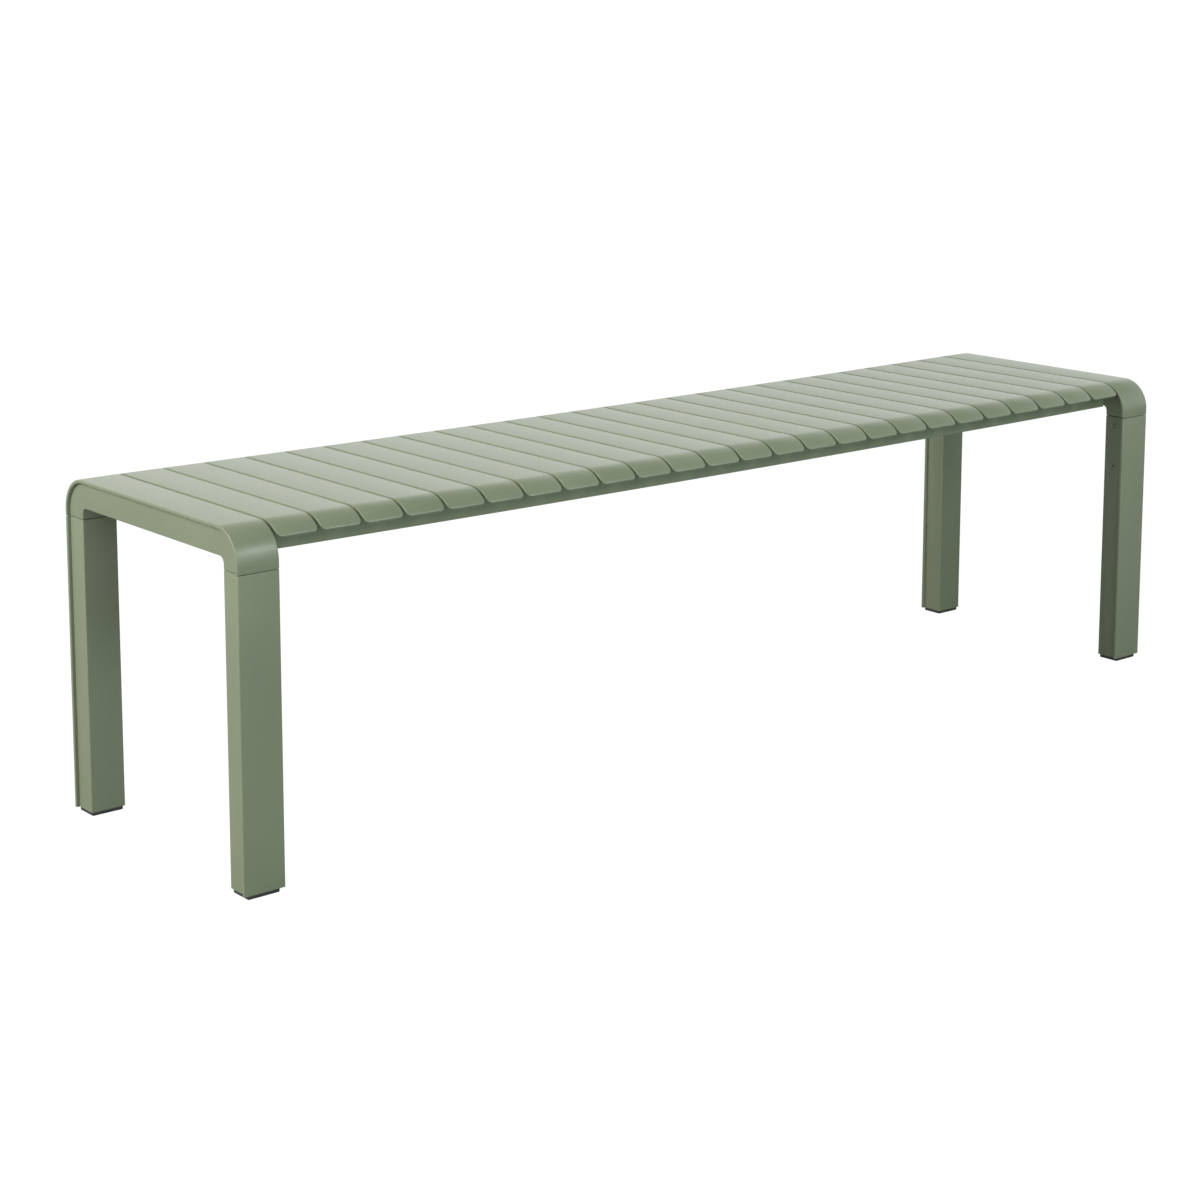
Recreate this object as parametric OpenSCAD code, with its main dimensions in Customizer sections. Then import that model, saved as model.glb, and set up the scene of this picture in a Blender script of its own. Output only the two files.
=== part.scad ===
// Backless garden bench: a slatted aluminium seat carried by two rails between two end arches,
// standing on four bolt-on legs.
// Frame: Z up, X along the bench, -Y the front, origin on the floor under the middle of the seat.
// Millimetres.

/* [Overall size] */
// Length over the two end arches
bench_length = 1750; // [1200:5:2100]
// Depth of the seat, front to back
bench_depth = 440; // [320:5:600]
// Height of the seat ends above the floor
bench_height = 470; // [320:5:560]

/* [Arch and leg section] */
// Width of the outer band, along the bench
band_w = 60; // [52:1:76]
// Thickness of the outer band and of the slats
strip_t = 5; // [3:0.5:6]
// Overhang of the band past each side of the box behind it
band_lip = 4.5; // [2:0.5:6]
// Depth of the whole section, band and box together
section_d = 40; // [34:1:56]
// Wall of the box
box_wall = 4; // [3.5:0.5:5]
// Outer radius of the arch corners and of the slat ends
corner_r = 46; // [30:1:52]
// Radius in the inner corners of the arch
inner_r = 9; // [4:1:16]
// Depth of the joint between arch and leg below the top of the arch
joint_drop = 56; // [54:1:90]
// Shadow gap between arch and leg
joint_gap = 0.8; // [0:0.1:2]

/* [Seat] */
// Gap between neighbouring slats, and between slat and arch
slat_gap = 5; // [3:0.5:10]
// How far the outer face of a slat end drops below its flat top
slat_drop = 18; // [8:1:26]
// Radius of the lower corners of a slat end
slat_corner_r = 7; // [2:0.5:12]
// How far the seat dips in the middle of its length
seat_dip = 3.5; // [0:0.5:8]
// Height of a rail
rail_h = 38; // [24:1:60]
// Width of a rail, front to back
rail_w = 25; // [16:1:50]
// Wall of a rail
rail_wall = 2; // [1.5:0.5:4]

/* [Leg joint] */
// Length of the spigot below the joint
spigot_down = 100; // [60:5:150]
// Length of the spigot above the joint
spigot_up = 34; // [10:1:42]
// Wall of the spigot
spigot_wall = 4; // [3:0.5:6]
// Depth of the upper leg screw below the joint
screw_upper = 14; // [12:1:30]
// Distance between the two leg screws
screw_pitch = 70; // [30:1:90]
// Shank diameter of a leg screw
screw_d = 6; // [5:0.5:6]
// Length of a leg screw under its head
screw_len = 13; // [10:1:16]

/* [Feet] */
// Height of the foot base below the leg
foot_h = 5.5; // [3:0.5:12]
// Setback of the foot base from the leg faces
foot_inset = 2; // [1:0.5:4]
// Length of the foot plug inside the leg
foot_plug = 20; // [10:1:40]

/* [Hidden] */

slat_count = 25;      // slats between the two arches
sliding_fit = 0.3;    // clearance on each side of a spigot or a foot plug in its box
screw_fit = 0.1;      // clearance on the radius round a screw or an insert
head_d = 12;          // diameter of a countersunk screw head
head_sink = 0.7;      // depth of the screw head below the leg face
socket_w = 4;         // hexagon socket of a screw, across flats
socket_depth = 2.5;   // depth of that socket
insert_wall = 1.5;    // wall of a threaded insert
insert_len = 10;      // length of a threaded insert
weld_leg = 4;         // leg length of a fillet weld
weld_share = 0.5;     // length of a slat weld as a share of the slat width
round_fn = 64;        // facets for round shapes

box_w = band_w - 2 * band_lip;
cavity_w = box_w - 2 * box_wall;
cavity_d = section_d - strip_t - box_wall;
arch_x = bench_length / 2 - band_w / 2;
joint_z = bench_height - joint_drop;
leg_top = joint_z - joint_gap / 2;
arch_h = joint_drop - joint_gap / 2;
slat_w = (bench_length - 2 * band_w - (slat_count + 1) * slat_gap) / slat_count;
slat_pitch = slat_w + slat_gap;
slat_angle = acos(1 - slat_drop / corner_r);
slat_low = corner_r - (corner_r - strip_t) * cos(slat_angle);
rail_half = bench_length / 2 - band_w + band_lip;
rail_y = bench_depth / 2 - corner_r - rail_w / 2;
rail_top = bench_height - strip_t;

green = [0.53, 0.57, 0.47];
bare_metal = [0.72, 0.73, 0.74];
black = [0.08, 0.08, 0.08];

// ---- shared outlines and placing ----

// Outline w wide and h high hanging from its top edge, whose two top corners have radius r.
module top_outline(w, h, r) {
    difference() {
        translate([-w / 2, -h])
            square([w, h]);
        for (side = [0, 1])
            mirror([side, 0])
                translate([w / 2 - r, -r])
                    difference() {
                        square(r + 1);
                        circle(r = r, $fn = round_fn);
                    }
    }
}

// Portal outline of the end arch, between two depths below its outer surface.
module portal(inset, depth, outer_r, hollow_r) {
    difference() {
        translate([0, -inset])
            top_outline(bench_depth - 2 * inset, arch_h - inset, outer_r);
        translate([0, -inset - depth])
            top_outline(bench_depth - 2 * (inset + depth), arch_h, hollow_r);
    }
}

// Turns an outline drawn in Y and Z into a bar w long, centred on X.
module along_x(w) {
    rotate([90, 0, 90])
        linear_extrude(height = w, center = true)
            children();
}

// Mirrors its children when asked to.
module flipped(on, axis) {
    if (on)
        mirror(axis)
            children();
    else
        children();
}

// Puts a part drawn for the front left leg at one of the four corners. The part has the outer face
// of the band at y = 0, runs inwards along +Y, and has the middle of the bench towards +X.
module at_corner(right, rear) {
    flipped(right, [1, 0, 0])
        flipped(rear, [0, 1, 0])
            translate([-arch_x, -bench_depth / 2, 0])
                children();
}

// Puts a part drawn along +Z from the leg's inner face at each leg screw, pointing into the leg.
module at_screws() {
    for (drop = [screw_upper, screw_upper + screw_pitch])
        translate([box_w / 2, (strip_t + section_d) / 2, joint_z - drop])
            rotate([0, -90, 0])
                children();
}

// ---- end arches ----

module end_arch(right) {
    color(green)
        translate([right ? arch_x : -arch_x, 0, bench_height])
            difference() {
                union() {
                    along_x(band_w)
                        portal(0, strip_t, corner_r, corner_r - strip_t);
                    along_x(box_w)
                        portal(strip_t, section_d - strip_t, corner_r - strip_t, inner_r);
                }
                along_x(cavity_w)
                    translate([0, -strip_t])
                        difference() {
                            top_outline(bench_depth - 2 * strip_t, arch_h, corner_r - strip_t);
                            translate([0, -cavity_d])
                                top_outline(bench_depth - 2 * (strip_t + cavity_d), arch_h + 1,
                                    inner_r + box_wall);
                        }
            }
}

// ---- seat ----

// Dip of the rail at a distance x from the middle of the bench.
function dip(x) = seat_dip * (1 - pow(x / rail_half, 2));

// Ends of the flat facets of the rail, one facet under each slat.
function facet_x(i) =
    i == 0 ? -rail_half : i == slat_count ? rail_half : (i - slat_count / 2) * slat_pitch;

// Slope of the facet under a slat, and the height of that facet under the slat's middle.
function facet_slope(i) =
    (dip(facet_x(i - 1)) - dip(facet_x(i))) / (facet_x(i) - facet_x(i - 1));
function slat_x(i) = (i - (slat_count + 1) / 2) * slat_pitch;
function slat_z(i) =
    rail_top - dip(facet_x(i - 1)) + facet_slope(i) * (slat_x(i) - facet_x(i - 1));

// Puts a part drawn on the underside of a slat, at its middle, under slat i.
module at_slat(i) {
    translate([slat_x(i), 0, slat_z(i)])
        rotate([0, -atan(facet_slope(i)), 0])
            children();
}

// Cross-section of a slat: flat, with both ends curving down.
module slat_section() {
    half_flat = bench_depth / 2 - corner_r;
    translate([-half_flat, -strip_t])
        square([2 * half_flat, strip_t]);
    for (side = [0, 1])
        mirror([side, 0])
            translate([half_flat, -corner_r])
                intersection() {
                    difference() {
                        circle(r = corner_r, $fn = round_fn);
                        circle(r = corner_r - strip_t, $fn = round_fn);
                    }
                    polygon([
                        [0, 0],
                        [0, 2 * corner_r],
                        2 * corner_r * [sin(slat_angle), cos(slat_angle)]
                    ]);
                }
}

module slat(i) {
    color(green)
        at_slat(i)
            translate([0, 0, strip_t])
                intersection() {
                    along_x(slat_w)
                        slat_section();
                    translate([0, 0, -slat_low])
                        rotate([90, 0, 0])
                            linear_extrude(height = bench_depth, center = true)
                                mirror([0, 1])
                                    top_outline(slat_w, slat_low + strip_t, slat_corner_r);
                }
}

// Side outline of a rail between two depths below its top.
module rail_side(from, to) {
    polygon(concat(
        [for (i = [0 : slat_count]) [facet_x(i), rail_top - from - dip(facet_x(i))]],
        [for (i = [slat_count : -1 : 0]) [facet_x(i), rail_top - to - dip(facet_x(i))]]));
}

module rail(rear) {
    color(green)
        translate([0, rear ? rail_y : -rail_y, 0])
            rotate([90, 0, 0])
                difference() {
                    linear_extrude(height = rail_w, center = true)
                        rail_side(0, rail_h);
                    linear_extrude(height = rail_w - 2 * rail_wall, center = true)
                        rail_side(rail_wall, rail_h - rail_wall);
                }
}

// One fillet weld per slat, along the inner side of a rail.
module slat_welds(rear) {
    color(green)
        flipped(rear, [0, 1, 0])
            for (i = [1 : slat_count])
                at_slat(i)
                    translate([0, rail_w / 2 - rail_y, 0])
                        along_x(slat_w * weld_share)
                            polygon([[0, 0], [weld_leg, 0], [0, -weld_leg]]);
}

// One upright fillet weld at each rail end, between the rail's inner side and the arch.
module rail_welds(right) {
    color(green)
        flipped(right, [1, 0, 0])
            for (rear = [false, true])
                flipped(rear, [0, 1, 0])
                    translate([-rail_half, rail_w / 2 - rail_y, rail_top - rail_h + weld_leg])
                        linear_extrude(height = rail_h - 3 * weld_leg)
                            polygon([[0, 0], [weld_leg, 0], [0, weld_leg]]);
}

// ---- legs ----

// Countersunk hole for a leg screw, through the wall of the leg box.
module screw_hole() {
    hole_r = screw_d / 2 + 3 * screw_fit;
    cone_top = head_d / 2 + head_sink + 1;
    translate([0, 0, -1])
        cylinder(h = cone_top - hole_r, r1 = cone_top, r2 = hole_r, $fn = round_fn);
    cylinder(h = box_wall + 1, r = hole_r, $fn = round_fn);
}

module leg(right, rear) {
    leg_len = leg_top - foot_h;
    color(green)
        at_corner(right, rear)
            difference() {
                union() {
                    translate([-band_w / 2, 0, foot_h])
                        cube([band_w, strip_t, leg_len]);
                    translate([-box_w / 2, strip_t, foot_h])
                        cube([box_w, section_d - strip_t, leg_len]);
                }
                translate([-cavity_w / 2, strip_t, foot_h - 1])
                    cube([cavity_w, cavity_d, leg_len + 2]);
                at_screws()
                    screw_hole();
            }
}

// Outer block of the spigot, its top rounded to follow the arch corner.
module spigot_block() {
    intersection() {
        translate([-cavity_w / 2 + sliding_fit, strip_t + sliding_fit, joint_z - spigot_down])
            cube([cavity_w - 2 * sliding_fit, cavity_d - 2 * sliding_fit,
                spigot_down + spigot_up]);
        translate([0, bench_depth / 2, bench_height])
            along_x(band_w)
                translate([0, -strip_t - sliding_fit])
                    top_outline(bench_depth - 2 * (strip_t + sliding_fit), bench_height,
                        corner_r - strip_t - sliding_fit);
    }
}

module spigot(right, rear) {
    color(bare_metal)
        at_corner(right, rear)
            difference() {
                spigot_block();
                translate([spigot_wall + sliding_fit - cavity_w / 2,
                    strip_t + sliding_fit + spigot_wall, joint_z - spigot_down - 1])
                    cube([cavity_w - 2 * (sliding_fit + spigot_wall),
                        cavity_d - 2 * (sliding_fit + spigot_wall), spigot_down + 1]);
                at_screws()
                    cylinder(h = box_wall + sliding_fit + spigot_wall + 1,
                        r = screw_d / 2 + insert_wall + 2 * screw_fit, $fn = round_fn);
            }
}

// Countersunk socket screws of one leg.
module leg_screws(right, rear) {
    head_r = head_d / 2 - screw_fit;
    color(green)
        at_corner(right, rear)
            at_screws()
                translate([0, 0, head_sink])
                    difference() {
                        union() {
                            cylinder(h = head_r - screw_d / 2, r1 = head_r, r2 = screw_d / 2,
                                $fn = round_fn);
                            cylinder(h = screw_len, r = screw_d / 2, $fn = round_fn);
                        }
                        translate([0, 0, -1])
                            cylinder(h = socket_depth + 1, r = socket_w / sqrt(3), $fn = 6);
                    }
}

// Threaded inserts that the leg screws turn into, set in the wall of the spigot.
module inserts(right, rear) {
    color(bare_metal)
        at_corner(right, rear)
            at_screws()
                translate([0, 0, box_wall + sliding_fit])
                    difference() {
                        cylinder(h = insert_len, r = screw_d / 2 + insert_wall + screw_fit,
                            $fn = round_fn);
                        translate([0, 0, -1])
                            cylinder(h = insert_len + 2, r = screw_d / 2 + screw_fit,
                                $fn = round_fn);
                    }
}

// Plastic glide with a plug that pushes into the open end of the leg.
module foot(right, rear) {
    color(black)
        at_corner(right, rear) {
            translate([foot_inset - box_w / 2, foot_inset, 0])
                cube([box_w - 2 * foot_inset, section_d - 2 * foot_inset, foot_h]);
            translate([sliding_fit - cavity_w / 2, strip_t + sliding_fit, foot_h])
                cube([cavity_w - 2 * sliding_fit, cavity_d - 2 * sliding_fit, foot_plug]);
        }
}

// ---- nodes ----

end_arch(false);  // end_arch_left
end_arch(true);  // end_arch_right
slat(1);  // slat_01
slat(2);  // slat_02
slat(3);  // slat_03
slat(4);  // slat_04
slat(5);  // slat_05
slat(6);  // slat_06
slat(7);  // slat_07
slat(8);  // slat_08
slat(9);  // slat_09
slat(10);  // slat_10
slat(11);  // slat_11
slat(12);  // slat_12
slat(13);  // slat_13
slat(14);  // slat_14
slat(15);  // slat_15
slat(16);  // slat_16
slat(17);  // slat_17
slat(18);  // slat_18
slat(19);  // slat_19
slat(20);  // slat_20
slat(21);  // slat_21
slat(22);  // slat_22
slat(23);  // slat_23
slat(24);  // slat_24
slat(25);  // slat_25
rail(false);  // rail_front
rail(true);  // rail_rear
slat_welds(false);  // slat_welds_front
slat_welds(true);  // slat_welds_rear
rail_welds(false);  // rail_welds_left
rail_welds(true);  // rail_welds_right
leg(false, false);  // leg_front_left
leg(true, false);  // leg_front_right
leg(false, true);  // leg_rear_left
leg(true, true);  // leg_rear_right
spigot(false, false);  // spigot_front_left
spigot(true, false);  // spigot_front_right
spigot(false, true);  // spigot_rear_left
spigot(true, true);  // spigot_rear_right
leg_screws(false, false);  // leg_screws_front_left
leg_screws(true, false);  // leg_screws_front_right
leg_screws(false, true);  // leg_screws_rear_left
leg_screws(true, true);  // leg_screws_rear_right
inserts(false, false);  // inserts_front_left
inserts(true, false);  // inserts_front_right
inserts(false, true);  // inserts_rear_left
inserts(true, true);  // inserts_rear_right
foot(false, false);  // foot_front_left
foot(true, false);  // foot_front_right
foot(false, true);  // foot_rear_left
foot(true, true);  // foot_rear_right
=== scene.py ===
"""Backless garden bench: a slatted, powder-coated aluminium seat between two end arches on bolt-on legs.

Metres, Z up, X along the bench, -Y the front, origin on the floor under the middle of the seat.
"""
import math

import bmesh
import bpy
from mathutils import Matrix, Vector


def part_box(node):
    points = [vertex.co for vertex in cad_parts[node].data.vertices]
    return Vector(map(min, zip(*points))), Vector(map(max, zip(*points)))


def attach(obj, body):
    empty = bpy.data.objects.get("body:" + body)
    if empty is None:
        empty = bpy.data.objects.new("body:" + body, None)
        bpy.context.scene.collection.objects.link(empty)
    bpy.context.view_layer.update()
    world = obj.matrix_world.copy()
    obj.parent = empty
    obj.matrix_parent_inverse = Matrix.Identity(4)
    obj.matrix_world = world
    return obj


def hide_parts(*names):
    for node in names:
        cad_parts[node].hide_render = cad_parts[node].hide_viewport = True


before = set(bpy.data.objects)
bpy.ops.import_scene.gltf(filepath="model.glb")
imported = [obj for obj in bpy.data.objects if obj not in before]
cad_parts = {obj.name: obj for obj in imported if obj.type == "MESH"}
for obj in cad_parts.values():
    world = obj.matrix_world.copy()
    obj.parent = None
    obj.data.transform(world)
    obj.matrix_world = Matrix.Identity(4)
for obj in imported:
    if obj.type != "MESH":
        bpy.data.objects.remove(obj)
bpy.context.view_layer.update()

# ---- End arches -------------------------------------------------------------------------------
# Each end of the bench is an arch of extruded aluminium: a wide outer band on a narrower box, bent
# round at both corners and powder-coated sage green. Its open ends take the spigots of the legs.

SIDES = ("left", "right")
ARCH_LOW, ARCH_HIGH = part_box("end_arch_left")
ARCH_X = abs(ARCH_LOW.x + ARCH_HIGH.x) / 2
HALF_DEPTH = ARCH_HIGH.y
SEAT_TOP = ARCH_HIGH.z
BAND_HALF = (ARCH_HIGH.x - ARCH_LOW.x) / 2
STRIP = 0.005
LIP = 0.0045
BOX_HALF = BAND_HALF - LIP
SECTION_DEPTH = 0.040
BOX_WALL = 0.004
CORNER_R = 0.046
INNER_R = 0.009
BAND_EASE = 0.0012
BOX_EASE = 0.0015
JOINT_EASE = 0.0006
EASE_STEPS = 4
BEND_STEPS = 18
SHARP_ANGLE = math.radians(40)
TINY = 1e-6

COAT_GREEN = (0.193, 0.240, 0.153, 1.0)
# Warm grey mixed into the coat on faces that point up: partly dust, partly a painted highlight on the tops.
DUST_AND_HIGHLIGHT_GREY = (0.42, 0.41, 0.37, 1.0)
COAT_ROUGHNESS = 0.36
COAT_DUST_AND_HIGHLIGHT = 0.10


def add_node(tree, kind, inputs=None, **settings):
    """Adds a node, sets its properties, and fills or links its inputs."""
    node = tree.nodes.new(kind)
    for name, value in settings.items():
        setattr(node, name, value)
    for key, value in (inputs or {}).items():
        if isinstance(value, bpy.types.NodeSocket):
            tree.links.new(value, node.inputs[key])
        else:
            node.inputs[key].default_value = value
    return node


def quarter(centre, radius, start):
    """Points of a quarter circle from one angle, in degrees, anticlockwise."""
    angles = [math.radians(start + 90 * k / EASE_STEPS) for k in range(EASE_STEPS + 1)]
    return [(centre[0] + radius * math.cos(a), centre[1] + radius * math.sin(a)) for a in angles]


def band_and_box(shrink):
    """Outline of the arch and leg section as (across, depth) points, every face moved in by shrink."""
    band, box = BAND_HALF - shrink, BOX_HALF - shrink
    under, back = STRIP - shrink, SECTION_DEPTH - shrink
    ease, box_ease = BAND_EASE - shrink, BOX_EASE - shrink
    half = quarter((band - ease, shrink + ease), ease, -90)
    half += quarter((band - ease, under - ease), ease, 0)
    half += [(box, under)]
    half += quarter((box - box_ease, back - box_ease), box_ease, 0)
    return half + [(-across, depth) for across, depth in reversed(half)]


def cavity():
    """The hollow of the box, with one point for each point of the section round it."""
    across_limit, back = BOX_HALF - BOX_WALL, SECTION_DEPTH - BOX_WALL
    points = []
    for across, depth in band_and_box(0.0):
        points.append((math.copysign(across_limit, across), STRIP if depth < STRIP * 2 else back))
    return points


def eased_ends(section, ease):
    """Rings of a section near one end as (outline, distance from the end), the end's edge rounded."""
    rings = []
    for k in range(EASE_STEPS + 1):
        angle = math.radians(90 * k / EASE_STEPS)
        rings.append((section(ease * (1 - math.sin(angle))), ease * (1 - math.cos(angle))))
    return rings


def skin(rings, closed):
    """Mesh of quads through rings of points. A closed skin also joins the last ring to the first."""
    mesh = bmesh.new()
    rows = [[mesh.verts.new(point) for point in ring] for ring in rings]
    pairs = list(zip(rows, rows[1:] + rows[:1])) if closed else list(zip(rows, rows[1:]))
    for row, after in pairs:
        for k in range(len(row)):
            mesh.faces.new((row[k - 1], row[k], after[k], after[k - 1]))
    if not closed:
        mesh.faces.new(rows[0])
        mesh.faces.new(rows[-1])
    bmesh.ops.remove_doubles(mesh, verts=mesh.verts, dist=TINY)
    bmesh.ops.dissolve_degenerate(mesh, edges=mesh.edges, dist=TINY)
    bmesh.ops.recalc_face_normals(mesh, faces=mesh.faces)
    return mesh


def make_piece(name, mesh, material, nodes):
    """Turns a bmesh or a mesh into a finished piece that stands for some CAD nodes."""
    if isinstance(mesh, bmesh.types.BMesh):
        data = bpy.data.meshes.new(name)
        mesh.to_mesh(data)
        mesh.free()
    else:
        data = mesh
        data.name = name
    data.materials.clear()
    data.materials.append(material)
    data.shade_smooth()
    data.set_sharp_from_angle(angle=SHARP_ANGLE)
    piece = bpy.data.objects.new(name, data)
    bpy.context.scene.collection.objects.link(piece)
    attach(piece, "root")
    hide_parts(*nodes)
    return piece


def coat_group():
    """Powder coat: slow drift of tone, fine orange peel, and, on what faces up, patches of grey that are
    partly dust and partly a painted highlight.
    """
    group = bpy.data.node_groups.new("powder_coat", "ShaderNodeTree")
    face = group.interface
    face.new_socket("Colour", in_out="INPUT", socket_type="NodeSocketColor")
    face.new_socket("Roughness", in_out="INPUT", socket_type="NodeSocketFloat")
    face.new_socket("Dust", in_out="INPUT", socket_type="NodeSocketFloat")
    face.new_socket("Colour", in_out="OUTPUT", socket_type="NodeSocketColor")
    face.new_socket("Roughness", in_out="OUTPUT", socket_type="NodeSocketFloat")
    face.new_socket("Height", in_out="OUTPUT", socket_type="NodeSocketFloat")
    given = group.nodes.new("NodeGroupInput")
    place = add_node(group, "ShaderNodeTexCoord").outputs["Object"]
    drift = add_node(group, "ShaderNodeTexNoise", {"Vector": place, "Scale": 5.0, "Detail": 3.0})
    grain = add_node(group, "ShaderNodeTexNoise", {"Vector": place, "Scale": 1500.0, "Detail": 2.0})
    peel = add_node(group, "ShaderNodeTexNoise", {"Vector": place, "Scale": 420.0, "Detail": 1.0})
    tone = add_node(group, "ShaderNodeMapRange", {
        "Value": drift.outputs["Fac"], "From Min": 0.3, "From Max": 0.7, "To Min": 0.95, "To Max": 1.05})
    fleck = add_node(group, "ShaderNodeMapRange", {
        "Value": grain.outputs["Fac"], "From Min": 0.25, "From Max": 0.75, "To Min": 0.96, "To Max": 1.04})
    shade = add_node(group, "ShaderNodeMath", {
        0: tone.outputs[0], 1: fleck.outputs[0]}, operation="MULTIPLY")
    toned = add_node(group, "ShaderNodeVectorMath", {
        0: given.outputs["Colour"], "Scale": shade.outputs[0]}, operation="SCALE")
    normal = add_node(group, "ShaderNodeSeparateXYZ", {
        "Vector": add_node(group, "ShaderNodeNewGeometry").outputs["Normal"]})
    # Faces that point up turn lighter, greyer and more matt in patches: partly dust, partly a painted
    # highlight on the tops.
    up = add_node(group, "ShaderNodeMapRange", {
        "Value": normal.outputs["Z"], "From Min": 0.6, "From Max": 1.0})
    patches = add_node(group, "ShaderNodeMapRange", {
        "Value": drift.outputs["Fac"], "From Min": 0.4, "From Max": 0.65})
    dust_and_highlight_area = add_node(group, "ShaderNodeMath", {
        0: up.outputs[0], 1: patches.outputs[0]}, operation="MULTIPLY")
    dust_and_highlight = add_node(group, "ShaderNodeMath", {
        0: dust_and_highlight_area.outputs[0], 1: given.outputs["Dust"]}, operation="MULTIPLY")
    dust_and_highlight_mixed = add_node(group, "ShaderNodeMix", {
        "Factor": dust_and_highlight.outputs[0], 6: toned.outputs["Vector"], 7: DUST_AND_HIGHLIGHT_GREY}, data_type="RGBA")
    sheen = add_node(group, "ShaderNodeMapRange", {
        "Value": grain.outputs["Fac"], "From Min": 0.2, "From Max": 0.8, "To Min": -0.05, "To Max": 0.05})
    rough = add_node(group, "ShaderNodeMath", {
        0: given.outputs["Roughness"], 1: sheen.outputs[0]}, operation="ADD")
    matt = add_node(group, "ShaderNodeMath", {0: dust_and_highlight.outputs[0], 1: 0.3, 2: rough.outputs[0]},
                    operation="MULTIPLY_ADD")
    height = add_node(group, "ShaderNodeMath", {0: grain.outputs["Fac"], 1: 0.4, 2: peel.outputs["Fac"]},
                      operation="MULTIPLY_ADD")
    add_node(group, "NodeGroupOutput", {
        "Colour": dust_and_highlight_mixed.outputs[2], "Roughness": matt.outputs[0], "Height": height.outputs[0]})
    return group


POWDER_COAT = coat_group()


def coated(name, colour, roughness, dust_and_highlight):
    """A powder-coated finish in one colour."""
    material = bpy.data.materials.new(name)
    material.use_nodes = True
    tree = material.node_tree
    coat = add_node(tree, "ShaderNodeGroup", node_tree=POWDER_COAT)
    coat.inputs["Colour"].default_value = colour
    coat.inputs["Roughness"].default_value = roughness
    coat.inputs["Dust"].default_value = dust_and_highlight
    bump = add_node(tree, "ShaderNodeBump", {
        "Height": coat.outputs["Height"], "Strength": 0.25, "Distance": 0.0001})
    shader = tree.nodes["Principled BSDF"]
    shader.inputs["IOR"].default_value = 1.5
    tree.links.new(coat.outputs["Colour"], shader.inputs["Base Color"])
    tree.links.new(coat.outputs["Roughness"], shader.inputs["Roughness"])
    tree.links.new(bump.outputs["Normal"], shader.inputs["Normal"])
    return material


def bent_ring(outline, x_middle, reach):
    """A section's points at one place along the arch, as reach(depth) puts them in Y and Z."""
    return [(x_middle + across, *reach(depth)) for across, depth in outline]


def bend_radius(depth):
    """Radius of the arch's corners at a depth below the outer face."""
    outer = CORNER_R - depth
    if depth <= STRIP:
        return outer
    return CORNER_R - STRIP + (INNER_R - CORNER_R + STRIP) * (depth - STRIP) / (SECTION_DEPTH - STRIP)


def on_bend(side, turn):
    """Place on one corner of the arch, for each depth. Side -1 is the front, and turn runs from
    leg to top."""
    def reach(depth):
        radius = bend_radius(depth)
        inset = depth + radius
        return (side * (HALF_DEPTH - inset + radius * math.cos(turn)),
                SEAT_TOP - inset + radius * math.sin(turn))
    return reach


def on_leg_end(side, height):
    """Place on one end of the arch, for each depth."""
    return lambda depth: (side * (HALF_DEPTH - depth), height)


def arch_rings(section, x_middle):
    """Rings of a section round both corners of the arch, from the front to the rear."""
    turns = [math.pi / 2 * k / BEND_STEPS for k in range(BEND_STEPS + 1)]
    front = [bent_ring(section, x_middle, on_bend(-1, turn)) for turn in turns]
    rear = [bent_ring(section, x_middle, on_bend(1, turn)) for turn in reversed(turns)]
    return front + rear


def end_arch(x_middle):
    """The hollow arch, its skin outside and its cavity inside."""
    foot = [(outline, ARCH_LOW.z + away) for outline, away in eased_ends(band_and_box, JOINT_EASE)]
    front = [bent_ring(outline, x_middle, on_leg_end(-1, height)) for outline, height in foot]
    rear = [bent_ring(outline, x_middle, on_leg_end(1, height)) for outline, height in reversed(foot)]
    inside = arch_rings(cavity(), x_middle)
    front_mouth = bent_ring(cavity(), x_middle, on_leg_end(-1, ARCH_LOW.z))
    rear_mouth = bent_ring(cavity(), x_middle, on_leg_end(1, ARCH_LOW.z))
    outside = front + arch_rings(band_and_box(0.0), x_middle) + rear
    return skin(outside + [rear_mouth] + inside[::-1] + [front_mouth], closed=True)


green_coat = coated("sage_powder_coat", COAT_GREEN, COAT_ROUGHNESS, COAT_DUST_AND_HIGHLIGHT)
for side, x_side in zip(SIDES, (-1, 1)):
    make_piece(f"arch_{side}", end_arch(x_side * ARCH_X), green_coat, [f"end_arch_{side}"])

# ---- Slats ------------------------------------------------------------------------------------
# Twenty-five flat aluminium bars lie across the rails with narrow gaps between them. Both ends are
# rolled down and have rounded corners, and the row dips slightly towards its middle.

SLATS = [name for name in sorted(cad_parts) if name.startswith("slat_") and name[5:].isdigit()]
SLAT_PITCH = (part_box(SLATS[-1])[0].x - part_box(SLATS[0])[0].x) / (len(SLATS) - 1)
SLAT_HALF = (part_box(SLATS[0])[1].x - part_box(SLATS[0])[0].x) / 2
MIDDLE_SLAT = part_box(SLATS[len(SLATS) // 2])
SLAT_END_TURN = math.acos((CORNER_R - MIDDLE_SLAT[1].z + MIDDLE_SLAT[0].z) / (CORNER_R - STRIP))
SLAT_CORNER_R = 0.007
SLAT_EASE = 0.0009
TIP_CROWDING = 1.2
RAIL_HALF = -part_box("rail_front")[0].x
RAIL_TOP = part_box("rail_front")[1].z
SEAT_DIP = SEAT_TOP - MIDDLE_SLAT[1].z


def slat_outline(half_width, shrink):
    """Rounded outline of a slat across its width, as (across, depth) points, moved in by shrink."""
    ease = SLAT_EASE - shrink
    edge, back = half_width - shrink, STRIP - shrink
    half = quarter((edge - ease, shrink + ease), ease, -90)
    half += quarter((edge - ease, back - ease), ease, 0)
    return half + [(-across, depth) for across, depth in reversed(half)]


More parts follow.
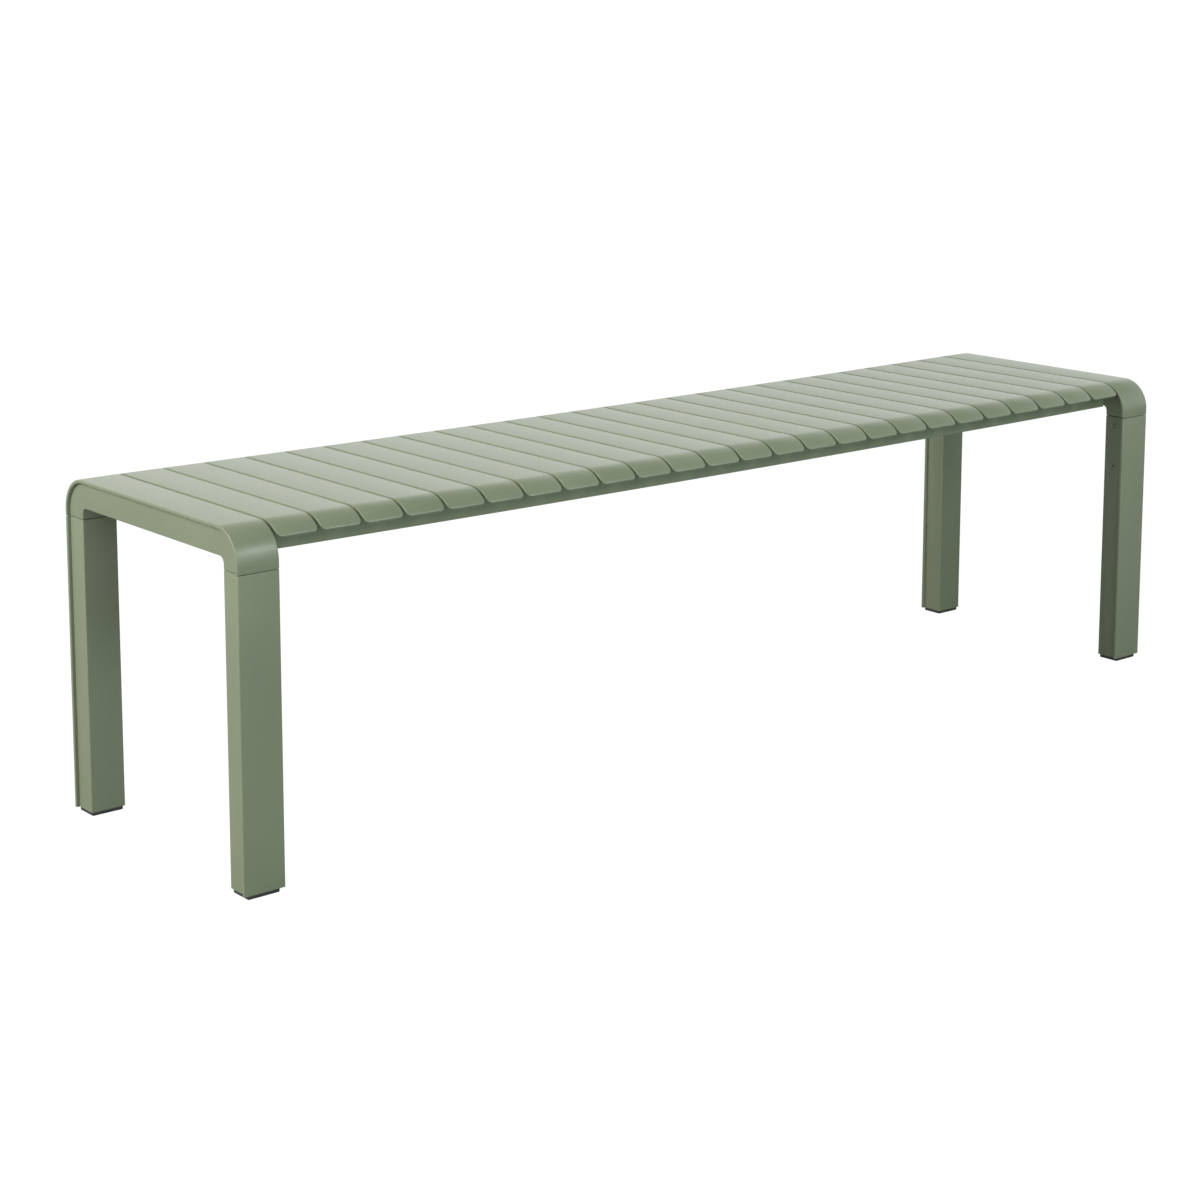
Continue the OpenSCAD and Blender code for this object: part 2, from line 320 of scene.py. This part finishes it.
def slat_mesh():
    """One slat centred over the origin, its underside at Z = 0."""
    flat_half = HALF_DEPTH - CORNER_R
    tip_fall = CORNER_R * (1 - math.cos(SLAT_END_TURN))
    stations = []
    for k in range(EASE_STEPS + 1):
        angle = math.radians(90 * k / EASE_STEPS)
        away = SLAT_EASE * (1 - math.cos(angle))
        stations.append((SLAT_END_TURN - away / CORNER_R, SLAT_EASE * (1 - math.sin(angle))))
    eased_turn = stations[-1][0]
    shares = [(k / BEND_STEPS) ** TIP_CROWDING for k in range(1, BEND_STEPS + 1)]
    stations += [(eased_turn * (1 - share), 0.0) for share in shares]
    front = []
    for turn, shrink in stations:
        above_tip = tip_fall - CORNER_R * (1 - math.cos(turn))
        cut = max(SLAT_CORNER_R - above_tip, 0.0)
        narrow = SLAT_CORNER_R - math.sqrt(SLAT_CORNER_R ** 2 - cut ** 2)
        ring = []
        for across, depth in slat_outline(SLAT_HALF - narrow, shrink):
            radius = CORNER_R - depth
            ring.append((across, -flat_half - radius * math.sin(turn),
                         STRIP - CORNER_R + radius * math.cos(turn)))
        front.append(ring)
    rear = [[(x, -y, z) for x, y, z in ring] for ring in reversed(front)]
    return skin(front + rear, closed=False)


def geometry_tree(name, sizes):
    """An empty geometry tree with a named input for each size, and its input and output nodes."""
    tree = bpy.data.node_groups.new(name, "GeometryNodeTree")
    for label, kind in sizes.items():
        tree.interface.new_socket(label, in_out="INPUT", socket_type=kind)
    tree.interface.new_socket("Geometry", in_out="OUTPUT", socket_type="NodeSocketGeometry")
    return tree, tree.nodes.new("NodeGroupInput").outputs


def finish_tree(tree, points, rotation, given):
    """Puts a copy on each point, makes the copies real and gives them their material."""
    copy = add_node(tree, "GeometryNodeObjectInfo", {"Object": given["Copy"]})
    placed = add_node(tree, "GeometryNodeInstanceOnPoints", {
        "Points": points, "Instance": copy.outputs["Geometry"], "Rotation": rotation})
    real = add_node(tree, "GeometryNodeRealizeInstances", {"Geometry": placed.outputs[0]})
    coated_copies = add_node(tree, "GeometryNodeSetMaterial", {
        "Geometry": real.outputs[0], "Material": given["Material"]})
    add_node(tree, "NodeGroupOutput", {"Geometry": coated_copies.outputs[0]})


def grown_mesh(tree, values):
    """Plain mesh that a geometry tree makes from its values."""
    holder = bpy.data.objects.new("holder", bpy.data.meshes.new("holder"))
    bpy.context.scene.collection.objects.link(holder)
    modifier = holder.modifiers.new("tree", "NODES")
    modifier.node_group = tree
    for item in tree.interface.items_tree:
        if item.in_out == "INPUT":
            modifier[item.identifier] = values[item.name]
    bpy.context.view_layer.update()
    graph = bpy.context.evaluated_depsgraph_get()
    mesh = bpy.data.meshes.new_from_object(holder.evaluated_get(graph))
    bpy.data.objects.remove(holder)
    return mesh


def tree_maths(tree, operation, *values):
    """The result of one maths node on numbers or sockets."""
    return add_node(tree, "ShaderNodeMath", dict(enumerate(values)), operation=operation).outputs[0]


def slat_row_tree():
    """A row of copies along X, one for each slat, that follows the dip and tilt of the rails."""
    tree, given = geometry_tree("slat_row", {
        "Copy": "NodeSocketObject", "Count": "NodeSocketInt", "Pitch": "NodeSocketFloat",
        "Half Length": "NodeSocketFloat", "Dip": "NodeSocketFloat", "Rail Top": "NodeSocketFloat",
        "Material": "NodeSocketMaterial"})

    def math_node(operation, *values):
        return tree_maths(tree, operation, *values)

    span = math_node("MULTIPLY", math_node("SUBTRACT", given["Count"], 1.0), given["Pitch"])
    start = add_node(tree, "ShaderNodeCombineXYZ", {"X": math_node("MULTIPLY", span, -0.5)})
    step = add_node(tree, "ShaderNodeCombineXYZ", {"X": given["Pitch"]})
    line = add_node(tree, "GeometryNodeMeshLine", {
        "Count": given["Count"], "Start Location": start.outputs[0], "Offset": step.outputs[0]})
    x = add_node(tree, "ShaderNodeSeparateXYZ", {
        0: add_node(tree, "GeometryNodeInputPosition").outputs[0]}).outputs["X"]
    half_pitch = math_node("MULTIPLY", given["Pitch"], 0.5)
    chord = math_node("ADD", math_node("POWER", x, 2.0), math_node("POWER", half_pitch, 2.0))
    share = math_node("DIVIDE", chord, math_node("POWER", given["Half Length"], 2.0))
    sag = math_node("MULTIPLY", given["Dip"], math_node("SUBTRACT", 1.0, share))
    height = math_node("SUBTRACT", given["Rail Top"], sag)
    lift = add_node(tree, "ShaderNodeCombineXYZ", {"Z": height})
    points = add_node(tree, "GeometryNodeSetPosition", {
        "Geometry": line.outputs[0], "Offset": lift.outputs[0]})
    rise = math_node("DIVIDE", math_node("MULTIPLY", given["Dip"], x),
                     math_node("POWER", given["Half Length"], 2.0))
    tilt = math_node("MULTIPLY", math_node("ARCTANGENT", math_node("MULTIPLY", rise, 2.0)), -1.0)
    turn = add_node(tree, "ShaderNodeCombineXYZ", {"Y": tilt})
    finish_tree(tree, points.outputs[0], turn.outputs[0], given)
    return tree


def copy_object(name, mesh):
    """An unlinked object that holds a mesh for a tree to copy."""
    data = bpy.data.meshes.new(name)
    mesh.to_mesh(data)
    mesh.free()
    return bpy.data.objects.new(name, data)


SLAT_ROW = slat_row_tree()
row_values = {"Count": len(SLATS), "Pitch": SLAT_PITCH, "Half Length": RAIL_HALF, "Dip": SEAT_DIP,
              "Rail Top": RAIL_TOP, "Material": green_coat}
slat_row = grown_mesh(SLAT_ROW, {**row_values, "Copy": copy_object("slat", slat_mesh())})
make_piece("slats", slat_row, green_coat, SLATS)

# ---- Rails ------------------------------------------------------------------------------------
# Two rectangular aluminium tubes run under the slats from arch to arch, just behind the rolled slat
# ends. They are set to a shallow dip, one short flat for each slat, and coated with the frame.

RAIL_EASE = 0.002


def rail_mesh(node):
    """A rail's skin, with a ring of its section between every two slats."""
    low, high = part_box(node)
    middle, half_width = (low.y + high.y) / 2, (high.y - low.y) / 2
    half_height = (high.z - low.z - SEAT_DIP) / 2
    bends = [(k - len(SLATS) / 2) * SLAT_PITCH for k in range(1, len(SLATS))]
    rings = []
    for x in [-RAIL_HALF, *bends, RAIL_HALF]:
        axis = RAIL_TOP - SEAT_DIP * (1 - (x / RAIL_HALF) ** 2) - half_height
        ring = []
        for k, (right, up) in enumerate(((1, 1), (-1, 1), (-1, -1), (1, -1))):
            centre = (middle + right * (half_width - RAIL_EASE), axis + up * (half_height - RAIL_EASE))
            ring += [(x, y, z) for y, z in quarter(centre, RAIL_EASE, 90 * k)]
        rings.append(ring)
    return skin(rings, closed=False)


for node in ("rail_front", "rail_rear"):
    make_piece(node + "_tube", rail_mesh(node), green_coat, [node])

# ---- Welds ------------------------------------------------------------------------------------
# Short hand-laid beads join every slat to the inner side of both rails, and an upright bead at each
# rail end joins it to the arch. They are coated over with the rest of the frame.

WELD_LEG = 0.004
WELD_SHARE = 0.5
RIPPLE = 0.12
RIPPLES_PER_LEG = 1.6
RINGS_PER_RIPPLE = 4
BEAD_FILL = 0.9
BEAD_BULGE = 0.62
BEAD_END_SHARE = 0.35
BEAD_END_SLOPE = 5


def weld_bead(length, corner, along, out_a, out_b):
    """A rippled bead in the corner between two faces, which run from the corner along out_a and out_b."""
    steps = round(length / WELD_LEG * RIPPLES_PER_LEG) * RINGS_PER_RIPPLE
    rings = []
    for k in range(steps + 1):
        share = k / steps
        swell = 1 + RIPPLE * math.cos(2 * math.pi * k / RINGS_PER_RIPPLE)
        taper = min(1.0, BEAD_END_SHARE + BEAD_END_SLOPE * min(share, 1 - share))
        leg = WELD_LEG * BEAD_FILL * swell * taper
        middle = corner + along * (share - 0.5) * length
        bow = (out_a + out_b) * leg * BEAD_BULGE
        rings.append([middle, middle + out_a * leg, middle + bow, middle + out_b * leg])
    return skin(rings, closed=False)


def joined(meshes):
    """One bmesh of several."""
    whole = bmesh.new()
    for mesh in meshes:
        part = bpy.data.meshes.new("part")
        mesh.to_mesh(part)
        mesh.free()
        whole.from_mesh(part)
        bpy.data.meshes.remove(part)
    return whole


RAIL_INNER = -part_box("rail_front")[1].y
X_AXIS, Y_AXIS, Z_AXIS = Vector((1, 0, 0)), Vector((0, 1, 0)), Vector((0, 0, 1))
bead_length = 2 * SLAT_HALF * WELD_SHARE
slat_beads = joined([
    weld_bead(bead_length, side * RAIL_INNER * Y_AXIS, X_AXIS, -side * Y_AXIS, -Z_AXIS) for side in (-1, 1)])
bead_row = grown_mesh(SLAT_ROW, {**row_values, "Copy": copy_object("slat_bead", slat_beads)})
make_piece("slat_beads", bead_row, green_coat, ["slat_welds_front", "slat_welds_rear"])

for side, x_side in zip(SIDES, (-1, 1)):
    low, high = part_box(f"rail_welds_{side}")
    middle = (low.z + high.z) / 2
    beads = []
    for y_side in (-1, 1):
        corner = Vector((x_side * RAIL_HALF, y_side * RAIL_INNER, middle))
        beads.append(weld_bead(high.z - low.z, corner, Z_AXIS, -x_side * X_AXIS, -y_side * Y_AXIS))
    make_piece(f"rail_beads_{side}", joined(beads), green_coat, [f"rail_welds_{side}"])

# ---- Legs -------------------------------------------------------------------------------------
# Each leg is a straight length of the arch's own extrusion, cut square, coated, and pushed over a
# spigot below the arch. Two countersunk holes in its inner face take the leg screws.

CORNERS = [(end, side) for end in ("front", "rear") for side in SIDES]
LEG_LOW, LEG_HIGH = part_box("leg_front_left")
LEG_FOOT_EASE = 0.0004
SCREW_R = 0.003
SCREW_HEAD_R = 0.006
HEAD_SINK = 0.0007
HOLE_CLEARANCE = 0.0003
CUT_OVERRUN = 0.001
SCREW_LOW, SCREW_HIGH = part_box("leg_screws_front_left")
SCREW_Y = -(SCREW_LOW.y + SCREW_HIGH.y) / 2
SCREW_FACE = ARCH_X - BOX_HALF
SCREW_TOP = SCREW_HIGH.z - (SCREW_HIGH.y - SCREW_LOW.y) / 2
SCREW_PITCH = SCREW_HIGH.z - SCREW_LOW.z - (SCREW_HIGH.y - SCREW_LOW.y)
ROUND_STEPS = 40


def turned(profile, centre, direction):
    """A round solid from (radius, distance) points, its axis along X from a centre."""
    rings = []
    for radius, distance in profile:
        angles = [2 * math.pi * k / ROUND_STEPS for k in range(ROUND_STEPS)]
        rings.append([(centre.x + direction * distance, centre.y + radius * math.cos(a),
                       centre.z + radius * math.sin(a)) for a in angles])
    return skin(rings, closed=False)


def leg_mesh(x_middle, y_side):
    """One hollow leg before its screw holes are cut."""
    top = [(outline, LEG_HIGH.z - away) for outline, away in eased_ends(band_and_box, JOINT_EASE)]
    foot = [(outline, LEG_LOW.z + away) for outline, away in eased_ends(band_and_box, LEG_FOOT_EASE)]
    mouths = [(cavity(), height) for height in (LEG_LOW.z, LEG_HIGH.z)]
    rings = [bent_ring(outline, x_middle, on_leg_end(y_side, height))
             for outline, height in top + foot[::-1] + mouths]
    return skin(rings, closed=True)


def cut(mesh, cutters):
    """A mesh with other solids taken away from it."""
    blank, tool = copy_object("blank", mesh), copy_object("tool", joined(cutters))
    for thing in (blank, tool):
        bpy.context.scene.collection.objects.link(thing)
    hole = blank.modifiers.new("holes", "BOOLEAN")
    hole.operation, hole.solver, hole.object = "DIFFERENCE", "EXACT", tool
    bpy.context.view_layer.update()
    graph = bpy.context.evaluated_depsgraph_get()
    result = bpy.data.meshes.new_from_object(blank.evaluated_get(graph))
    bpy.data.objects.remove(blank)
    bpy.data.objects.remove(tool)
    return result


HOLE_R = SCREW_R + HOLE_CLEARANCE
HOLE_MOUTH_R = SCREW_HEAD_R + HEAD_SINK
HOLE_PROFILE = [(HOLE_MOUTH_R + CUT_OVERRUN, -CUT_OVERRUN), (HOLE_MOUTH_R, 0.0),
                (HOLE_R, HOLE_MOUTH_R - HOLE_R), (HOLE_R, BOX_WALL + CUT_OVERRUN)]
for end, side in CORNERS:
    x_side, y_side = (-1 if side == "left" else 1), (-1 if end == "front" else 1)
    holes = [turned(HOLE_PROFILE, Vector((x_side * SCREW_FACE, y_side * SCREW_Y, height)), x_side)
             for height in (SCREW_TOP, SCREW_TOP - SCREW_PITCH)]
    leg = cut(leg_mesh(x_side * ARCH_X, y_side), holes)
    make_piece(f"leg_tube_{end}_{side}", leg, green_coat, [f"leg_{end}_{side}"])

# ---- Leg screws -------------------------------------------------------------------------------
# Countersunk hexagon socket screws hold each leg to its spigot, two to a leg on the face towards the
# middle of the bench. Their heads are painted to match and sit just below the surface.

SOCKET_FLATS = 0.004
SOCKET_DEPTH = 0.0025
SOCKET_CONE = 0.0006
SOCKET_CONE_TIP_R = 0.0002
SCREW_LENGTH = SCREW_HIGH.x - SCREW_LOW.x
SCREW_RIM_R = SCREW_HEAD_R - 0.0001
HEAD_EASE = 0.0003
SCREW_TIP_EASE = 0.0005
SCREW_SIDES = 12


def screw_ring(radii, x):
    """One ring round the screw's axis. The radii take turns, so that two of them make a hexagon."""
    angles = [2 * math.pi * k / SCREW_SIDES for k in range(SCREW_SIDES)]
    return [(x, radii[k % len(radii)] * math.cos(a), radii[k % len(radii)] * math.sin(a))
            for k, a in enumerate(angles)]


def screw_mesh():
    """One screw at the origin with its head's flat face at X = 0, the head towards +X."""
    socket = (SOCKET_FLATS / math.sqrt(3), SOCKET_FLATS / 2)
    socket_mouth = [radius + HEAD_EASE for radius in socket]
    return skin([
        screw_ring([SOCKET_CONE_TIP_R], -SOCKET_DEPTH - SOCKET_CONE),
        screw_ring(socket, -SOCKET_DEPTH),
        screw_ring(socket, -HEAD_EASE),
        screw_ring(socket_mouth, 0.0),
        screw_ring([SCREW_RIM_R - HEAD_EASE], 0.0),
        screw_ring([SCREW_RIM_R], -HEAD_EASE),
        screw_ring([SCREW_R], SCREW_R - SCREW_RIM_R),
        screw_ring([SCREW_R], SCREW_TIP_EASE - SCREW_LENGTH),
        screw_ring([SCREW_R - SCREW_TIP_EASE], -SCREW_LENGTH)], closed=False)


def corner_points(tree, given):
    """Four points at the corners of a rectangle, given half its length and half its depth."""
    length = tree_maths(tree, "MULTIPLY", given["X"], 2.0)
    depth = tree_maths(tree, "MULTIPLY", given["Y"], 2.0)
    grid = add_node(tree, "GeometryNodeMeshGrid", {
        "Size X": length, "Size Y": depth, "Vertices X": 2, "Vertices Y": 2})
    return grid.outputs["Mesh"]


def screw_tree():
    """Two screws in each leg, one above the other, with their heads towards the middle of the bench."""
    tree, given = geometry_tree("leg_screws", {
        "Copy": "NodeSocketObject", "X": "NodeSocketFloat", "Y": "NodeSocketFloat",
        "Upper Height": "NodeSocketFloat", "Pitch": "NodeSocketFloat", "Material": "NodeSocketMaterial"})
    corners = corner_points(tree, given)
    start = add_node(tree, "ShaderNodeCombineXYZ", {"Z": given["Upper Height"]})
    step = add_node(tree, "ShaderNodeCombineXYZ", {"Z": tree_maths(tree, "MULTIPLY", given["Pitch"], -1.0)})
    pair = add_node(tree, "GeometryNodeMeshLine", {
        "Count": 2, "Start Location": start.outputs[0], "Offset": step.outputs[0]})
    pairs = add_node(tree, "GeometryNodeInstanceOnPoints", {"Points": corners, "Instance": pair.outputs[0]})
    points = add_node(tree, "GeometryNodeRealizeInstances", {"Geometry": pairs.outputs[0]})
    x = add_node(tree, "ShaderNodeSeparateXYZ", {
        0: add_node(tree, "GeometryNodeInputPosition").outputs[0]}).outputs["X"]
    half_turn = tree_maths(tree, "MULTIPLY", tree_maths(tree, "GREATER_THAN", x, 0.0), math.pi)
    turn = add_node(tree, "ShaderNodeCombineXYZ", {"Z": half_turn})
    finish_tree(tree, points.outputs[0], turn.outputs[0], given)
    return tree


screw_row = grown_mesh(screw_tree(), {
    "Copy": copy_object("screw", screw_mesh()), "X": SCREW_FACE + HEAD_SINK, "Y": SCREW_Y,
    "Upper Height": SCREW_TOP, "Pitch": SCREW_PITCH, "Material": green_coat})
make_piece("socket_screws", screw_row, green_coat,
           [f"leg_screws_{end}_{side}" for end, side in CORNERS])

# ---- Spigots and inserts ----------------------------------------------------------------------
# An aluminium spigot fills each joint between arch and leg, and threaded inserts of plated steel in
# its side take the leg screws. Both are uncoated and hidden once the leg is on.


def bare_metal(name, colour, roughness, stretch):
    """Uncoated metal with drawn lines along Z."""
    material = bpy.data.materials.new(name)
    material.use_nodes = True
    tree = material.node_tree
    place = add_node(tree, "ShaderNodeTexCoord")
    mapping = add_node(tree, "ShaderNodeMapping", {
        "Vector": place.outputs["Object"], "Scale": (1.0, 1.0, stretch)})
    lines = add_node(tree, "ShaderNodeTexNoise", {
        "Vector": mapping.outputs[0], "Scale": 900.0, "Detail": 3.0})
    rough = add_node(tree, "ShaderNodeMapRange", {
        "Value": lines.outputs["Fac"], "To Min": roughness - 0.1, "To Max": roughness + 0.1})
    darker = [0.8 * channel for channel in colour[:3]] + [1.0]
    ramp = add_node(tree, "ShaderNodeMix", {
        "Factor": lines.outputs["Fac"], 6: colour, 7: darker}, data_type="RGBA")
    bump = add_node(tree, "ShaderNodeBump", {
        "Height": lines.outputs["Fac"], "Strength": 0.3, "Distance": 0.0001})
    shader = tree.nodes["Principled BSDF"]
    shader.inputs["Metallic"].default_value = 1.0
    tree.links.new(ramp.outputs[2], shader.inputs["Base Color"])
    tree.links.new(rough.outputs[0], shader.inputs["Roughness"])
    tree.links.new(bump.outputs["Normal"], shader.inputs["Normal"])
    return material


bare_aluminium = bare_metal("bare_aluminium", (0.72, 0.73, 0.74, 1.0), 0.42, 0.05)
plated_steel = bare_metal("plated_steel", (0.62, 0.61, 0.58, 1.0), 0.35, 1.0)
for end, side in CORNERS:
    for stem, metal in (("spigot", bare_aluminium), ("inserts", plated_steel)):
        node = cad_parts[f"{stem}_{end}_{side}"]
        for spot in node.material_slots:
            spot.material = metal

# ---- Feet -------------------------------------------------------------------------------------
# A moulded black plastic glide is pushed into the open end of each leg. Its plug is hidden in the
# leg, and only the base shows, as a thin dark line at the floor.

FOOT_EASE = 0.0012
FOOT_CORNER_R = 0.0025
PLUG_EASE = 0.0008
PLUG_CORNER_R = 0.001
PLUG_CLEARANCE = 0.0003
PLUG_HALF_WIDTH = BOX_HALF - BOX_WALL - PLUG_CLEARANCE
BLACK = (0.022, 0.022, 0.023, 1.0)
RUBBED_BLACK = (0.045, 0.044, 0.043, 1.0)


def rounded_box(low, high, ease, corner):
    """A box with rounded upright corners and eased top and bottom edges."""
    middle, half = (low + high) / 2, (high - low) / 2
    rings = []
    levels = []
    for k in range(EASE_STEPS + 1):
        angle = math.radians(90 * k / EASE_STEPS)
        levels.append((ease * (1 - math.sin(angle)), low.z + ease * (1 - math.cos(angle))))
    levels += [(shrink, low.z + high.z - z) for shrink, z in reversed(levels)]
    for shrink, z in levels:
        radius = corner - shrink
        ring = []
        for k, (right, back) in enumerate(((1, 1), (-1, 1), (-1, -1), (1, -1))):
            centre = (middle.x + right * (half.x - corner), middle.y + back * (half.y - corner))
            ring += [(x, y, z) for x, y in quarter(centre, radius, 90 * k)]
        rings.append(ring)
    return skin(rings, closed=False)


def moulded_black():
    """Black moulded plastic with the fine sparked texture of its mould."""
    material = bpy.data.materials.new("black_plastic")
    material.use_nodes = True
    tree = material.node_tree
    place = add_node(tree, "ShaderNodeTexCoord")
    spark = add_node(tree, "ShaderNodeTexVoronoi", {"Vector": place.outputs["Object"], "Scale": 1100.0})
    scuff = add_node(tree, "ShaderNodeTexNoise", {
        "Vector": place.outputs["Object"], "Scale": 60.0, "Detail": 5.0})
    rubbed = add_node(tree, "ShaderNodeMapRange", {
        "Value": scuff.outputs["Fac"], "From Min": 0.45, "From Max": 0.75})
    colour = add_node(tree, "ShaderNodeMix", {
        "Factor": rubbed.outputs[0], 6: BLACK, 7: RUBBED_BLACK}, data_type="RGBA")
    rough = add_node(tree, "ShaderNodeMapRange", {
        "Value": scuff.outputs["Fac"], "To Min": 0.42, "To Max": 0.62})
    bump = add_node(tree, "ShaderNodeBump", {
        "Height": spark.outputs["Distance"], "Strength": 0.3, "Distance": 0.0002})
    shader = tree.nodes["Principled BSDF"]
    tree.links.new(colour.outputs[2], shader.inputs["Base Color"])
    tree.links.new(rough.outputs[0], shader.inputs["Roughness"])
    tree.links.new(bump.outputs["Normal"], shader.inputs["Normal"])
    return material


black_plastic = moulded_black()
for end, side in CORNERS:
    low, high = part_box(f"foot_{end}_{side}")
    x_side, y_side = (-1 if side == "left" else 1), (-1 if end == "front" else 1)
    plug_depths = (STRIP + PLUG_CLEARANCE, SECTION_DEPTH - BOX_WALL - PLUG_CLEARANCE)
    plug_y = [y_side * (HALF_DEPTH - depth) for depth in plug_depths]
    plug_low = Vector((x_side * ARCH_X - PLUG_HALF_WIDTH, min(plug_y), LEG_LOW.z - FOOT_EASE))
    plug_high = Vector((x_side * ARCH_X + PLUG_HALF_WIDTH, max(plug_y), high.z))
    base_high = Vector((high.x, high.y, LEG_LOW.z))
    glide = joined([rounded_box(low, base_high, FOOT_EASE, FOOT_CORNER_R),
                    rounded_box(plug_low, plug_high, PLUG_EASE, PLUG_CORNER_R)])
    make_piece(f"glide_{end}_{side}", glide, black_plastic, [f"foot_{end}_{side}"])

# ---- Studio -----------------------------------------------------------------------------------
# A wide pale floor under an even white surround, a warm soft light high on the left, a small one close
# in front of the seat and a cool one far in front, and a long lens above seat height off the left corner.

STUDIO_WHITE = (1.0, 1.0, 1.0, 1.0)
FLOOR_GREY = (0.33, 0.33, 0.33, 1.0)
PALE_FLOOR_GREY = (0.37, 0.37, 0.37, 1.0)
FLOOR_DROP = 0.0002
FLOOR_GLOW = 1.3
FLOOR_GLOW_SHARE = 0.75


def studio_floor(half_side):
    """A plain pale floor, a hair below the feet so that it never flickers against them."""
    mesh = bmesh.new()
    corners = [(-1, -1), (1, -1), (1, 1), (-1, 1)]
    mesh.faces.new([mesh.verts.new((half_side * x, half_side * y, -FLOOR_DROP)) for x, y in corners])
    floor = copy_object("studio_floor", mesh)
    bpy.context.scene.collection.objects.link(floor)
    material = bpy.data.materials.new("pale_floor")
    material.use_nodes = True
    tree = material.node_tree
    place = add_node(tree, "ShaderNodeTexCoord")
    mottle = add_node(tree, "ShaderNodeTexNoise", {
        "Vector": place.outputs["Object"], "Scale": 1.5, "Detail": 4.0})
    tint = add_node(tree, "ShaderNodeMix", {
        "Factor": mottle.outputs["Fac"], 6: FLOOR_GREY, 7: PALE_FLOOR_GREY}, data_type="RGBA")
    shader = tree.nodes["Principled BSDF"]
    shader.inputs["Roughness"].default_value = 0.9
    shader.inputs["Specular IOR Level"].default_value = 0.1
    tree.links.new(tint.outputs[2], shader.inputs["Base Color"])
    lit = add_node(tree, "ShaderNodeEmission", {"Color": STUDIO_WHITE, "Strength": FLOOR_GLOW})
    path = add_node(tree, "ShaderNodeLightPath")
    share = add_node(tree, "ShaderNodeMath", {
        0: path.outputs["Is Camera Ray"], 1: FLOOR_GLOW_SHARE}, operation="MULTIPLY")
    mixed = add_node(tree, "ShaderNodeMixShader", {
        0: share.outputs[0], 1: shader.outputs[0], 2: lit.outputs[0]})
    tree.links.new(mixed.outputs[0], tree.nodes["Material Output"].inputs["Surface"])
    floor.data.materials.append(material)


def soft_light(name, place, target, width, height, power, colour):
    """A large rectangular light aimed at a point."""
    data = bpy.data.lights.new(name, "AREA")
    data.color = colour
    data.shape = "RECTANGLE"
    data.size, data.size_y, data.energy = width, height, power
    light = bpy.data.objects.new(name, data)
    light.location = place
    light.rotation_mode = "QUATERNION"
    light.rotation_quaternion = (Vector(target) - Vector(place)).to_track_quat("-Z", "Y")
    bpy.context.scene.collection.objects.link(light)


def white_surround(seen, mirrored, overhead, felt):
    """White all round, with one brightness for each way it shows: seen behind the bench, mirrored
    near the horizon and overhead, and felt as the light it sheds."""
    world = bpy.data.worlds.new("surround")
    world.use_nodes = True
    tree = world.node_tree
    path = add_node(tree, "ShaderNodeLightPath")
    direction = add_node(tree, "ShaderNodeSeparateXYZ", {
        "Vector": add_node(tree, "ShaderNodeTexCoord").outputs["Generated"]})
    sky = add_node(tree, "ShaderNodeMapRange", {
        "Value": direction.outputs["Z"], "From Min": 0.35, "From Max": 0.75,
        "To Min": mirrored, "To Max": overhead}, interpolation_type="SMOOTHSTEP")
    shown = add_node(tree, "ShaderNodeMix", {
        "Factor": path.outputs["Is Camera Ray"], 2: sky.outputs[0], 3: seen})
    level = add_node(tree, "ShaderNodeMix", {
        "Factor": path.outputs["Is Diffuse Ray"], 2: shown.outputs[0], 3: felt})
    background = tree.nodes["Background"]
    background.inputs["Color"].default_value = STUDIO_WHITE
    tree.links.new(level.outputs[0], background.inputs["Strength"])
    bpy.context.scene.world = world


studio_floor(30.0)
white_surround(seen=1.05, mirrored=1.55, overhead=0.17, felt=0.36)
soft_light("left_light", (-4.6, 0.7, 2.8), (0.0, 0.0, 0.3), 2.4, 2.4, 246.0, (1.0, 0.92, 0.90))
soft_light("right_light", (0.7, -2.5, 1.75), (-0.8, -0.2, 0.4), 1.2, 0.7, 26.0, (0.96, 1.0, 1.0))
soft_light("front_light", (-1.0, -5.5, 1.2), (0.0, 0.0, 0.3), 3.0, 2.0, 65.0, (0.92, 0.98, 1.0))

EYE = Vector((-2.394, -2.7405, 1.1387))
EYE_YAW, EYE_DIP, EYE_ROLL = (math.radians(a) for a in (39.89, 8.95, 0.12))
FOCAL_SHARE = 2.0527
camera_data = bpy.data.cameras.new("studio_camera")
camera_data.sensor_width = 36.0
camera_data.lens = FOCAL_SHARE * camera_data.sensor_width
camera_data.shift_x = -0.0083
camera_data.shift_y = -0.2
camera_data.clip_end = 200.0
camera = bpy.data.objects.new("studio_camera", camera_data)
forward = Vector((math.sin(EYE_YAW) * math.cos(EYE_DIP), math.cos(EYE_YAW) * math.cos(EYE_DIP),
                  -math.sin(EYE_DIP)))
level_right = Vector((math.cos(EYE_YAW), -math.sin(EYE_YAW), 0.0))
level_up = level_right.cross(forward)
right = level_right * math.cos(EYE_ROLL) + level_up * math.sin(EYE_ROLL)
up = level_up * math.cos(EYE_ROLL) - level_right * math.sin(EYE_ROLL)
camera.matrix_world = Matrix((right, up, -forward)).transposed().to_4x4()
camera.location = EYE
bpy.context.scene.collection.objects.link(camera)
bpy.context.scene.camera = camera
bpy.context.scene.view_settings.view_transform = "Standard"
